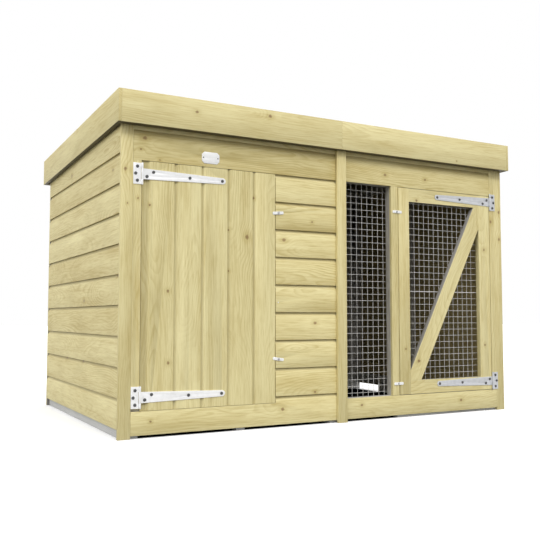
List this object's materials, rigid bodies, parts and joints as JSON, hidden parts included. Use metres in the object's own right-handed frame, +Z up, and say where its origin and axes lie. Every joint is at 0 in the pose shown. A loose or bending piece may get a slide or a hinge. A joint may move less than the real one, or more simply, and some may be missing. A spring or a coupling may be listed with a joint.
{
  "type": "dog kennel and run",
  "caption": "Timber dog kennel joined to a wire-mesh run under one pent roof, with a boarded door, a braced mesh door, strap hinges and turn buttons.",
  "frame": {"origin": "on the ground, under the middle of the roof's outline", "axes": "+X to the right along the front, +Y from the front to the back, +Z up; the doors face -Y"},
  "size_m": [1.811, 1.22, 1.187],
  "materials": {
    "board_timber": "planed, pressure treated",
    "trim_timber": "planed, pressure treated",
    "frame_timber": "sawn and lightly weathered",
    "mineral_felt": "mineral grit",
    "galvanised_wire": "galvanised",
    "hinge_metal": "zinc plated",
    "bright_metal": "bright zinc plated",
    "screw_metal": "dulled zinc"
  },
  "bodies": {
    "root": {"back_fascia_board": "trim_timber", "back_wall_boards": "board_timber", "back_wall_frame": "frame_timber", "centre_cover_strip": "trim_timber", "cladding_nail": "screw_metal", "front_fascia_boards": "trim_timber", "front_frame_rails": "frame_timber", "front_frame_studs": "frame_timber", "front_left_corner_strip": "trim_timber", "front_right_corner_strip": "trim_timber", "hinge_plate_screws": "screw_metal", "kennel_bearers": "frame_timber", "kennel_floor_boards": "board_timber", "kennel_header_boards": "board_timber", "kennel_hinge_pins": "hinge_metal", "kennel_hinge_plates": "hinge_metal", "kennel_hinge_strip": "trim_timber", "kennel_low_board": "board_timber", "kennel_short_boards": "board_timber", "left_fascia_board": "trim_timber", "left_wall_boards": "board_timber", "left_wall_frame": "frame_timber", "name_plate": "bright_metal", "name_plate_screws": "screw_metal", "partition_boards": "board_timber", "partition_frame": "frame_timber", "rear_bearer": "frame_timber", "rear_corner_strips": "trim_timber", "right_fascia_board": "trim_timber", "right_wall_boards": "board_timber", "right_wall_frame": "frame_timber", "roof_deck_boards": "board_timber", "roof_edge_rails": "frame_timber", "roof_felt": "mineral_felt", "roof_joists": "frame_timber", "run_fixed_mesh": "galvanised_wire", "run_front_bearer": "frame_timber", "run_header_boards": "board_timber", "run_hinge_pins": "hinge_metal", "run_hinge_plates": "hinge_metal", "run_hinge_strip": "trim_timber", "run_latch_strip": "trim_timber", "run_low_board": "board_timber", "side_sills": "frame_timber", "turn_button_screws": "screw_metal"},
    "kennel_door": {"kennel_door_boards": "board_timber", "kennel_door_ledges": "frame_timber", "kennel_hinge_straps": "hinge_metal", "kennel_hinge_strap_screws": "screw_metal"},
    "run_door": {"run_door_stiles": "trim_timber", "run_door_rails": "trim_timber", "run_door_brace": "trim_timber", "run_door_mesh_lower": "galvanised_wire", "run_door_mesh_upper": "galvanised_wire", "run_hinge_straps": "hinge_metal", "run_hinge_strap_screws": "screw_metal"},
    "kennel_upper_turn_button_body": {"kennel_upper_turn_button": "bright_metal"},
    "kennel_lower_turn_button_body": {"kennel_lower_turn_button": "bright_metal"},
    "run_upper_turn_button_body": {"run_upper_turn_button": "bright_metal"},
    "run_lower_turn_button_body": {"run_lower_turn_button": "bright_metal"}
  },
  "joints": [
    {"name": "kennel_door_hinge", "type": "hinge", "parent": "root", "child": "kennel_door", "pos_m": [-0.81, -0.581, 0.5223], "axis": [0, 0, -1], "range_deg": [0, 150]},
    {"name": "run_door_hinge", "type": "hinge", "parent": "root", "child": "run_door", "pos_m": [0.816, -0.581, 0.52755], "axis": [0, 0, 1], "range_deg": [0, 150]},
    {"name": "kennel_upper_turn_button_pivot", "type": "hinge", "parent": "root", "child": "kennel_upper_turn_button_body", "pos_m": [-0.2715, -0.5785, 0.8051], "axis": [0, 1, 0], "continuous": true},
    {"name": "kennel_lower_turn_button_pivot", "type": "hinge", "parent": "root", "child": "kennel_lower_turn_button_body", "pos_m": [-0.2715, -0.5785, 0.254], "axis": [0, 1, 0], "continuous": true},
    {"name": "run_upper_turn_button_pivot", "type": "hinge", "parent": "root", "child": "run_upper_turn_button_body", "pos_m": [0.292, -0.5785, 0.8481], "axis": [0, 1, 0], "continuous": true},
    {"name": "run_lower_turn_button_pivot", "type": "hinge", "parent": "root", "child": "run_lower_turn_button_body", "pos_m": [0.292, -0.5785, 0.1385], "axis": [0, 1, 0], "continuous": true}
  ]
}
